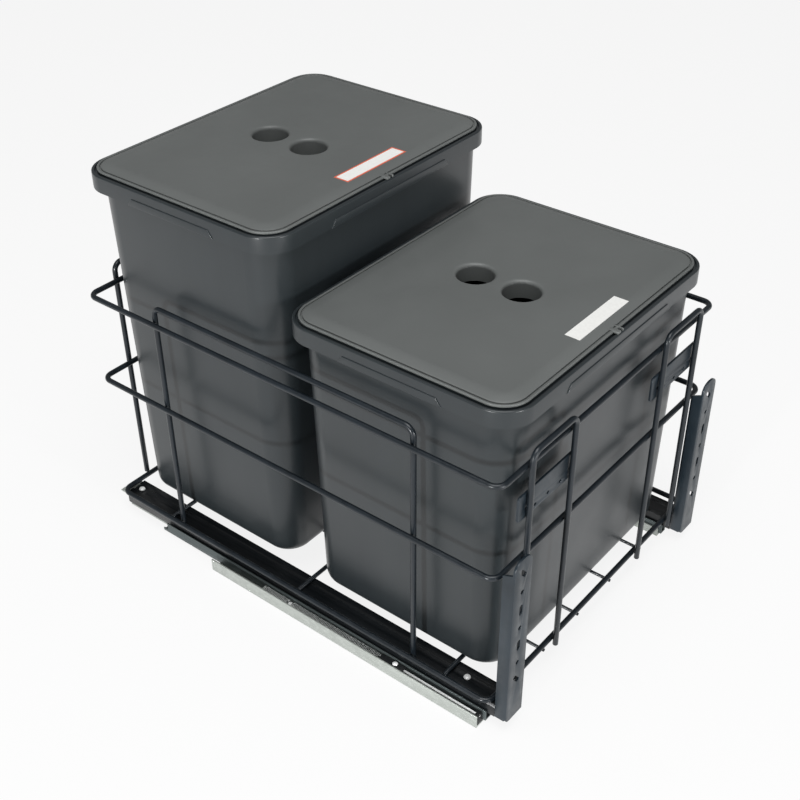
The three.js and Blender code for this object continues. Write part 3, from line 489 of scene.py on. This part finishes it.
def face_outwards(bm):
    """Points every face out of the closed skin that it belongs to."""
    bmesh.ops.recalc_face_normals(bm, faces=bm.faces)
    if bm.calc_volume(signed=True) < 0:
        bmesh.ops.reverse_faces(bm, faces=bm.faces)


def close_ends(bm, ease):
    """Caps open ends and takes the sharp edge off the caps."""
    caps = bmesh.ops.holes_fill(bm, edges=open_edges(bm), sides=0)["faces"]
    face_outwards(bm)
    round_off(bm, list(dict.fromkeys(e for face in caps for e in face.edges)), ease, 2)


# ------------------------------------------------------------------------------------ the basket

def ring(node):
    """A closed ring with round corners."""
    middle, size = middle_and_size(node)
    half_x = (size.x - FRAME_WIRE) / 2
    half_y = (size.y - FRAME_WIRE) / 2
    bm = bmesh.new()
    start = middle - INWARD * half_y
    end_leg = half_x - RING_BEND
    side_leg = 2 * (half_y - RING_BEND)
    legs = [end_leg, side_leg, 2 * end_leg, side_leg, end_leg]
    bent_wire(bm, start, ACROSS, UP, legs, FRAME_WIRE, RING_BEND)
    bmesh.ops.remove_doubles(bm, verts=bm.verts, dist=RING_WELD)
    face_outwards(bm)
    stand_in(bm, node, WIRE_COAT, "tray")


def hoop(node, along):
    """An upside-down U whose legs stand apart along a direction."""
    low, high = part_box(node)
    middle = (low + high) / 2
    half = (high - low).dot(along) / 2 - FRAME_WIRE / 2
    rise = high.z - low.z - FRAME_WIRE / 2 - HOOP_BEND
    foot = Vector((middle.x, middle.y, low.z)) - along * half
    bm = bmesh.new()
    legs = [rise, 2 * (half - HOOP_BEND), rise]
    bent_wire(bm, foot, UP, UP.cross(along), legs, FRAME_WIRE, HOOP_BEND)
    close_ends(bm, WIRE_END_EASE)
    stand_in(bm, node, WIRE_COAT, "tray")


def straight_wire(node, along, diameter):
    middle, size = middle_and_size(node)
    length = size.dot(along)
    bm = bmesh.new()
    bent_wire(bm, middle - along * length / 2, along, UP, [length], diameter, 0)
    close_ends(bm, WIRE_END_EASE)
    stand_in(bm, node, WIRE_COAT, "tray")


def basket():
    for node in ("base_ring", "lower_ring", "upper_ring"):
        ring(node)
    hoop("back_hoop", ACROSS)
    for hand in HANDS:
        hoop(f"{hand}_side_hoop", INWARD)
        hoop(f"{hand}_front_hoop", ACROSS)
        eased_copy(f"{hand}_door_plate", BRACKET_COAT, "tray", PLATE_EDGE,
                   CREASE)
    for place in ("front", "middle", "rear"):
        straight_wire(f"{place}_cross_wire", ACROSS, CROSS_WIRE)
    for place in ("far_left", "near_left", "near_right", "far_right"):
        straight_wire(f"{place}_floor_wire", INWARD, FLOOR_WIRE)


# ------------------------------------------------------------------------------------ the slides

def rod(node, along):
    middle, size = middle_and_size(node)
    length = size.dot(along)
    bm = bmesh.new()
    end = section_at(bm, middle - along * length / 2, along, size.z / 2, WIRE_SIDES)
    draw_out(bm, end, along * length)
    close_ends(bm, ROD_END_EASE)
    stand_in(bm, node, BRIGHT, "cabinet_rails")


def spring(node):
    """A close-wound tension spring whose ends run straight."""
    low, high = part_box(node)
    middle = (low + high) / 2
    radius = (high.x - low.x) / 2 - SPRING_WIRE / 2
    length = high.y - low.y - 2 * SPRING_WIRE
    curls = round(length / SPRING_PITCH)
    bm = bmesh.new()
    start = Vector((middle.x, low.y, middle.z + radius))
    end = section_at(bm, start, INWARD, SPRING_WIRE / 2, SPRING_SIDES)
    end = draw_out(bm, end, INWARD * SPRING_WIRE)
    axis_point = Vector((middle.x, low.y, middle.z))
    steps = curls * CURL_STEPS
    end = swing(bm, end, axis_point, INWARD, 2 * math.pi * curls, steps, INWARD * length / steps)
    draw_out(bm, end, INWARD * SPRING_WIRE)
    bmesh.ops.holes_fill(bm, edges=open_edges(bm), sides=0)
    face_outwards(bm)
    stand_in(bm, node, BRIGHT, "cabinet_rails", SPRING_SMOOTH)


def domed_fastener(node, body, shank_share):
    """A screw or rivet: a shank and a domed head, turned about its own axis."""
    low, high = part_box(node)
    middle = (low + high) / 2
    head = (high.x - low.x) / 2
    shank = head * shank_share
    head_height = head * HEAD_HEIGHT
    under_head = high.z - head_height
    profile = [(0, low.z), (shank * SHANK_TIP, low.z), (shank, low.z + SHANK_CHAMFER)]
    profile += [(shank, under_head)]
    profile += [(head * out, under_head + up * head_height) for out, up in HEAD_OUTLINE]
    bm = bmesh.new()
    verts = [bm.verts.new((middle.x + r, middle.y, z)) for r, z in profile]
    edges = [bm.edges.new(pair) for pair in zip(verts, verts[1:])]
    bmesh.ops.spin(bm, geom=verts + edges, cent=middle, axis=UP, angle=2 * math.pi,
                   steps=FASTENER_STEPS, use_merge=True, use_duplicate=False)
    bmesh.ops.remove_doubles(bm, verts=bm.verts, dist=FASTENER_WELD)
    face_outwards(bm)
    stand_in(bm, node, BRIGHT, body, FASTENER_SMOOTH)


# Each slide's sheet and moulded pieces: node, finish, body, slot, rounded edge and crease
SLIDE_PIECES = (
    ("cabinet_rail", GALVANISED, "cabinet_rails", "galvanised_steel", RAIL_EDGE, CREASE),
    ("damper_housing", HOUSING, "cabinet_rails", "housing_plastic", HOUSING_EDGE, CREASE),
    ("spring_catch", BRIGHT, "cabinet_rails", "bright_steel", CATCH_EDGE, CREASE),
    ("middle_rail", RAIL_STEEL, "middle_rails", "rail_steel", MIDDLE_RAIL_EDGE, CREASE),
    ("lower_ball_cage", CAGE, "lower_cages", "cage_steel", CAGE_EDGE, CAGE_CREASE),
    ("outer_ball_strip", CAGE, "upper_cages", "cage_steel", CAGE_EDGE, CAGE_CREASE),
    ("inner_ball_strip", CAGE, "upper_cages", "cage_steel", CAGE_EDGE, CAGE_CREASE),
    ("inner_rail", GALVANISED, "tray", "galvanised_steel", RAIL_EDGE, CREASE),
    ("carrier", CARRIER_COAT, "tray", "carrier_coating", CARRIER_EDGE, CARRIER_CREASE),
    ("door_bracket", BRACKET_COAT, "tray", "frame_coating", BRACKET_EDGE, CREASE),
)


def slides():
    for hand in HANDS:
        for node, material, body, slot, edge, crease in SLIDE_PIECES:
            eased_copy(f"{hand}_{node}", material, body, edge, crease)
        rod(f"{hand}_damper_rod", INWARD)
        spring(f"{hand}_closing_spring")
        spring(f"{hand}_return_spring")
        domed_fastener(f"{hand}_front_screw", "tray", CARRIER_SCREW_SHANK)
        domed_fastener(f"{hand}_rear_screw", "tray", CARRIER_SCREW_SHANK)
        domed_fastener(f"{hand}_damper_screw", "cabinet_rails", RAIL_FASTENER_SHANK)
        domed_fastener(f"{hand}_rail_rivet", "cabinet_rails", RAIL_FASTENER_SHANK)


# --------------------------------------------------------------------------------- bins and lids

class Outline:
    """A rectangle with round corners, from which the levels of a moulding are drawn in."""

    def __init__(self, middle, half_x, half_y, corner):
        self.middle = middle
        self.half_x = half_x
        self.half_y = half_y
        self.corner = corner

    def loop(self, bm, inset, height):
        """The outline at one level: a circle whose quadrants are moved apart."""
        corner = self.corner - inset
        half_step = math.pi / (4 * CORNER_STEPS)
        turned = Matrix.Rotation(half_step, 4, "Z")
        made = bmesh.ops.create_circle(bm, cap_ends=False, radius=corner / math.cos(half_step),
                                       segments=4 * CORNER_STEPS, matrix=turned)
        for vert in made["verts"]:
            vert.co.x += math.copysign(self.half_x - inset - corner, vert.co.x) + self.middle.x
            vert.co.y += math.copysign(self.half_y - inset - corner, vert.co.y) + self.middle.y
            vert.co.z = height
        return edges_among(made["verts"])


def rim_and_wall(place):
    """The outlines of a bin's rim and of its wall, which hangs back from the rim."""
    low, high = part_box(f"{place}_bin")
    middle = (low + high) / 2
    half = (high - low) / 2
    rim = Outline(middle, half.x, half.y, RIM_CORNER)
    set_back = INWARD * (FRONT_OVERHANG - REAR_OVERHANG) / 2
    depth = half.y - (FRONT_OVERHANG + REAR_OVERHANG) / 2
    wall = Outline(middle + set_back, half.x - SIDE_OVERHANG, depth, BIN_CORNER)
    return rim, wall


def moulded_skin(bm, levels):
    """Bridges loops at each level, given as (outline, inset, height), and gives the loops.

    Two loops in one plane bridge crosswise, so the second one goes a hair lower.
    """
    loops = []
    last = None
    for outline, inset, height in levels:
        if last is not None and abs(height - last) < LEVEL_STEP:
            height = last - LEVEL_STEP
        loops.append(outline.loop(bm, inset, height))
        last = height
    for lower, upper in zip(loops, loops[1:]):
        bmesh.ops.bridge_loops(bm, edges=lower + upper)
    return loops


def round_edge(outline, inset, height, radius, start, end, steps):
    """Levels round an edge: an arc about (inset, height) from start to end, in quarter turns."""
    levels = []
    for i in range(steps + 1):
        angle = (start + (end - start) * i / steps) * QUARTER
        levels.append((outline, inset + radius * math.cos(angle),
                       height + radius * math.sin(angle)))
    return levels


def seat_groove(rim, top):
    """The channel between the rim's lip and the edge of the lid."""
    ease = SEAT_GROOVE_EASE
    low = top - SEAT_GROOVE_DEPTH
    far = LIP + SEAT_GROOVE
    return [(rim, LIP - ease, top), (rim, LIP, top - ease), (rim, LIP + ease, low),
            (rim, far - ease, low), (rim, far, top)]


def bin_levels(rim, wall, bottom, top):
    """The moulding's section: up the outside, round the turned-over rim and down the inside."""
    slope = math.tan(BIN_DRAFT)

    def outside(z):
        return (top - z) * slope

    def inside(z):
        return outside(z) + BIN_WALL

    under = top - RIM_SHEET
    floor = bottom + BIN_WALL
    foot = outside(bottom + BIN_FOOT) + BIN_FOOT
    ledge = inside(top) + LEDGE_REACH
    levels = [(wall, outside(bottom) + BIN_FOOT, bottom)]
    levels += round_edge(wall, foot, bottom + BIN_FOOT, BIN_FOOT, 3, 2, 8)
    levels += [(wall, outside(under), under), (rim, BAND_SHEET, under)]
    levels += [(rim, BAND_SHEET, top - RIM_BAND), (rim, 0, top - RIM_BAND)]
    levels += round_edge(rim, RIM_EDGE, top - RIM_EDGE, RIM_EDGE, 2, 1, 5)
    levels += seat_groove(rim, top)
    levels += [(wall, ledge, top), (wall, ledge, under), (wall, inside(under), under)]
    levels += round_edge(wall, inside(floor) + BIN_FOOT, floor + BIN_FOOT, BIN_FOOT, 2, 3, 6)
    return levels


def grip(bm, low, high):
    """A raised strip along the foot of the rim's band, with slanted ends and eased edges."""
    verts = block(bm, (low + high) / 2, high - low)
    longest = 0 if high.x - low.x > high.y - low.y else 1
    middle = (low[longest] + high[longest]) / 2
    for vert in verts:
        if vert.co.z > (low.z + high.z) / 2:
            vert.co[longest] -= math.copysign(GRIP_SLANT, vert.co[longest] - middle)
    round_off(bm, edges_among(verts), GRIP_EDGE, 3)


def grips(bm, rim, foot):
    """One strip on each side, rooted in the band."""
    root = BAND_SHEET / 2
    low, high = foot - GRIP_FOOT, foot + GRIP_HEIGHT
    for side in (-1, 1):
        x = sorted(rim.middle.x + side * (rim.half_x + reach) for reach in (GRIP_PROUD, -root))
        y = sorted(rim.middle.y + side * (rim.half_y + reach) for reach in (GRIP_PROUD, -root))
        grip(bm, Vector((x[0], rim.middle.y - SIDE_GRIP / 2, low)),
             Vector((x[1], rim.middle.y + SIDE_GRIP / 2, high)))
        grip(bm, Vector((rim.middle.x - FRONT_GRIP / 2, y[0], low)),
             Vector((rim.middle.x + FRONT_GRIP / 2, y[1], high)))


def bin_body(place):
    node = f"{place}_bin"
    low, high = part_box(node)
    rim, wall = rim_and_wall(place)
    bm = bmesh.new()
    loops = moulded_skin(bm, bin_levels(rim, wall, low.z, high.z))
    bmesh.ops.edgeloop_fill(bm, edges=loops[0])
    bmesh.ops.edgeloop_fill(bm, edges=loops[-1])
    face_outwards(bm)
    grips(bm, rim, high.z - RIM_BAND)
    stand_in(bm, node, BIN_PLASTIC, node)


def finger_hole(bm, x, y, top, under):
    """A round hole with a rounded mouth, and a collar below that meets the underside."""
    radius = FINGER_HOLE / 2
    mouth = FINGER_HOLE_MOUTH
    bottom = top - FINGER_HOLE_DEPTH
    section = []
    for i in range(MOUTH_STEPS + 1):
        angle = QUARTER * i / MOUTH_STEPS
        section.append((radius + mouth * (1 - math.sin(angle)),
                        top - mouth * (1 - math.cos(angle))))
    section += [(radius, bottom), (radius + mouth, bottom), (radius + mouth, under)]
    verts = [bm.verts.new((x + r, y, z)) for r, z in section]
    edges = [bm.edges.new(pair) for pair in zip(verts, verts[1:])]
    bmesh.ops.spin(bm, geom=verts + edges, cent=(x, y, 0), axis=UP, angle=2 * math.pi,
                   steps=HOLE_SEGMENTS, use_merge=True, use_duplicate=False)


def cover_gap(bm, height):
    """Fills the flat space between the open edges at one height."""
    near = LEVEL_STEP / 2
    edges = [e for e in open_edges(bm) if all(abs(v.co.z - height) < near for v in e.verts)]
    bmesh.ops.triangle_fill(bm, use_beauty=True, use_dissolve=False, edges=edges)


def lid_levels(rim, wall, rim_top, top):
    """From the foot of the skirt, out round the border ridge, over the groove and up the roll."""
    skirt = BIN_WALL + LEDGE_REACH + SKIRT_PLAY
    under = rim_top + LID_SEAT_GAP
    base = under - SKIRT_DEPTH
    ridge_top = rim_top + LID_RIDGE_HEIGHT
    ridge = LID_RIDGE_ROUND
    groove = LID_INSET + LID_RIDGE
    groove_floor = ridge_top - LID_GROOVE_DEPTH
    middle = groove + LID_GROOVE
    roll = middle + LID_MIDDLE_ROUND
    levels = [(wall, skirt + SKIRT_WALL, top - LID_SHEET), (wall, skirt + SKIRT_WALL, base)]
    levels += [(wall, skirt, base), (wall, skirt, under), (rim, LID_INSET, under)]
    levels += round_edge(rim, LID_INSET + ridge, ridge_top - ridge, ridge, 2, 1, 4)
    levels += round_edge(rim, groove - ridge, ridge_top - ridge, ridge, 1, 0, 4)
    levels += [(rim, groove, groove_floor), (rim, middle, groove_floor)]
    levels += round_edge(rim, roll, ridge_top - LID_MIDDLE_ROUND, LID_MIDDLE_ROUND, 2, 1.2, 3)
    for i in range(1, ROLL_STEPS + 1):
        height = ridge_top + (top - ridge_top) * math.sin(QUARTER * i / ROLL_STEPS)
        levels.append((rim, roll + LID_ROLL * i / ROLL_STEPS, height))
    return levels


def latch(bm, x, outer, rim_top):
    """A tab that carries the lid's face out over the rim, and a stop beside it."""
    near = outer + LATCH_INSET
    far = outer + LID_INSET + LID_RIDGE + LID_GROOVE + LATCH_OVERLAP
    low = rim_top + LATCH_LIFT
    for left, right, height in (LATCH_TAB, LATCH_STOP):
        size = Vector((right - left, far - near, rim_top + height - low))
        middle = Vector((x + (left + right) / 2, (near + far) / 2, low + size.z / 2))
        round_off(bm, edges_among(block(bm, middle, size)), LATCH_EDGE, 3)


def lid(place):
    node = f"{place}_lid"
    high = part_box(node)[1]
    rim, wall = rim_and_wall(place)
    rim_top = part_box(f"{place}_bin")[1].z
    bm = bmesh.new()
    top = high.z - 2 * FILM
    moulded_skin(bm, lid_levels(rim, wall, rim_top, top))
    for end in (-1, 1):
        y = rim.middle.y + FINGER_HOLE_SHIFT + end * FINGER_HOLE_SPACING / 2
        finger_hole(bm, rim.middle.x, y, top, top - LID_SHEET)
    cover_gap(bm, top)
    cover_gap(bm, top - LID_SHEET)
    face_outwards(bm)
    latch(bm, rim.middle.x, rim.middle.y - rim.half_y, rim_top)
    stand_in(bm, node, LID_PLASTIC, node)


def film(name, place, low_x, high_x, middle_y, width, material, lift=0.0):
    """A thin rectangle of film that lies on a lid."""
    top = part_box(f"{place}_lid")[1].z - 2 * FILM + lift
    bm = bmesh.new()
    block(bm, ((low_x + high_x) / 2, middle_y, top - FILM / 4), (high_x - low_x, width, FILM))
    finished(bm, name, material, f"{place}_lid")


def labels():
    """Bare labels: the rear one is white with a coloured border, the front one all white."""
    film("rear_label_border", "rear", -34.6 * MM, 42.8 * MM, 36.2 * MM, 15.6 * MM, LABEL_ORANGE)
    film("rear_label_field", "rear", -33 * MM, 41.2 * MM, 36.2 * MM, 12.6 * MM, LABEL_WHITE,
         FILM / 2)
    film("front_label_field", "front", -35.8 * MM, 38 * MM, -194 * MM, 13.6 * MM, LABEL_WHITE)


def bins():
    for place in ("rear", "front"):
        bin_body(place)
        lid(place)
    labels()


# ------------------------------------------------------------------------------------ the studio

def either_ray(nodes, links, first, second):
    """A share that is 1 where a ray is of one of two kinds."""
    path = nodes.new("ShaderNodeLightPath")
    either = nodes.new("ShaderNodeMath")
    either.operation = "MAXIMUM"
    links.new(path.outputs[first], either.inputs[0])
    links.new(path.outputs[second], either.inputs[1])
    return either.outputs["Value"]


def floor():
    """A pale floor that shows white to the camera and keeps a soft shadow."""
    bm = bmesh.new()
    bmesh.ops.create_grid(bm, x_segments=1, y_segments=1, size=FLOOR_REACH)
    bmesh.ops.translate(bm, verts=bm.verts, vec=(0, 0, -FLOOR_DROP))
    mesh = bpy.data.meshes.new("floor")
    bm.to_mesh(mesh)
    bm.free()
    piece = bpy.data.objects.new("floor", mesh)
    bpy.context.scene.collection.objects.link(piece)
    material = bpy.data.materials.new("pale_floor")
    material.use_nodes = True
    nodes = material.node_tree.nodes
    links = material.node_tree.links
    shader = nodes["Principled BSDF"]
    shader.inputs["Base Color"].default_value = (0.8, 0.8, 0.8, 1)
    shader.inputs["Roughness"].default_value = 0.7
    shader.inputs["Specular IOR Level"].default_value = 0.2
    white = nodes.new("ShaderNodeEmission")
    white.inputs["Color"].default_value = (1, 1, 1, 1)
    white.inputs["Strength"].default_value = 1.0
    seen = either_ray(nodes, links, "Is Camera Ray", "Is Glossy Ray")
    share = nodes.new("ShaderNodeMath")
    share.operation = "MULTIPLY"
    share.inputs[1].default_value = FLOOR_WHITENESS
    links.new(seen, share.inputs[0])
    mix = nodes.new("ShaderNodeMixShader")
    links.new(share.outputs["Value"], mix.inputs["Fac"])
    links.new(shader.outputs["BSDF"], mix.inputs[1])
    links.new(white.outputs["Emission"], mix.inputs[2])
    links.new(mix.outputs["Shader"], nodes["Material Output"].inputs["Surface"])
    mesh.materials.append(material)


def surroundings():
    """White where the camera sees it, and a dimmer even light everywhere else."""
    world = bpy.data.worlds.new("studio")
    bpy.context.scene.world = world
    world.use_nodes = True
    nodes = world.node_tree.nodes
    links = world.node_tree.links
    background = nodes["Background"]
    background.inputs["Color"].default_value = (1, 1, 1, 1)
    seen = either_ray(nodes, links, "Is Camera Ray", "Is Transmission Ray")
    strength = nodes.new("ShaderNodeMapRange")
    strength.inputs["To Min"].default_value = EVEN_LIGHT
    strength.inputs["To Max"].default_value = 1.0
    links.new(seen, strength.inputs["Value"])
    links.new(strength.outputs["Result"], background.inputs["Strength"])


def softbox(name, place, aim, width, height, power):
    """A rectangular lamp turned towards a point."""
    lamp = bpy.data.lights.new(name, "AREA")
    lamp.shape = "RECTANGLE"
    lamp.size = width
    lamp.size_y = height
    lamp.energy = power
    piece = bpy.data.objects.new(name, lamp)
    piece.location = place
    away = Vector(place) - Vector(aim)
    piece.rotation_euler = away.to_track_quat("Z", "Y").to_euler()
    bpy.context.scene.collection.objects.link(piece)


def lights():
    aim = (0, 0, 0.2)
    softbox("left_softbox", (-2.1, -0.35, 0.36), aim, 0.14, 0.24, 29)
    softbox("front_softbox", (-0.35, -2.1, 0.36), aim, 0.14, 0.24, 20)
    softbox("overhead_softbox", (-0.55, -0.4, 2.2), aim, 1.5, 1.5, 36)


# Camera, as a photographer would note it
CAMERA_PLACE = Vector((-734.1, -586.1, 804.6)) * MM
CAMERA_YAW = math.radians(50.852)  # clockwise from +Y
CAMERA_PITCH = math.radians(35.968)  # below the horizon
CAMERA_ROLL = math.radians(-0.642)
FOCAL_LENGTH = 55.14  # millimetres on a 36 mm wide sensor
FRAME_SHIFT = (0.0087, 0.0239)  # shares of the frame


def camera():
    forward = Vector((math.sin(CAMERA_YAW) * math.cos(CAMERA_PITCH),
                      math.cos(CAMERA_YAW) * math.cos(CAMERA_PITCH),
                      -math.sin(CAMERA_PITCH)))
    right = Vector((math.cos(CAMERA_YAW), -math.sin(CAMERA_YAW), 0))
    above = right.cross(forward)
    turn = Matrix((right, above, -forward)).transposed().to_4x4()
    lens = bpy.data.cameras.new("camera")
    lens.sensor_width = 36
    lens.lens = FOCAL_LENGTH
    lens.shift_x, lens.shift_y = FRAME_SHIFT
    piece = bpy.data.objects.new("camera", lens)
    roll = Matrix.Rotation(CAMERA_ROLL, 4, "Z")
    piece.matrix_world = Matrix.Translation(CAMERA_PLACE) @ turn @ roll
    bpy.context.scene.collection.objects.link(piece)
    bpy.context.scene.camera = piece


camera()
basket()
slides()
bins()
floor()
surroundings()
lights()
bpy.context.scene.view_settings.view_transform = "Standard"
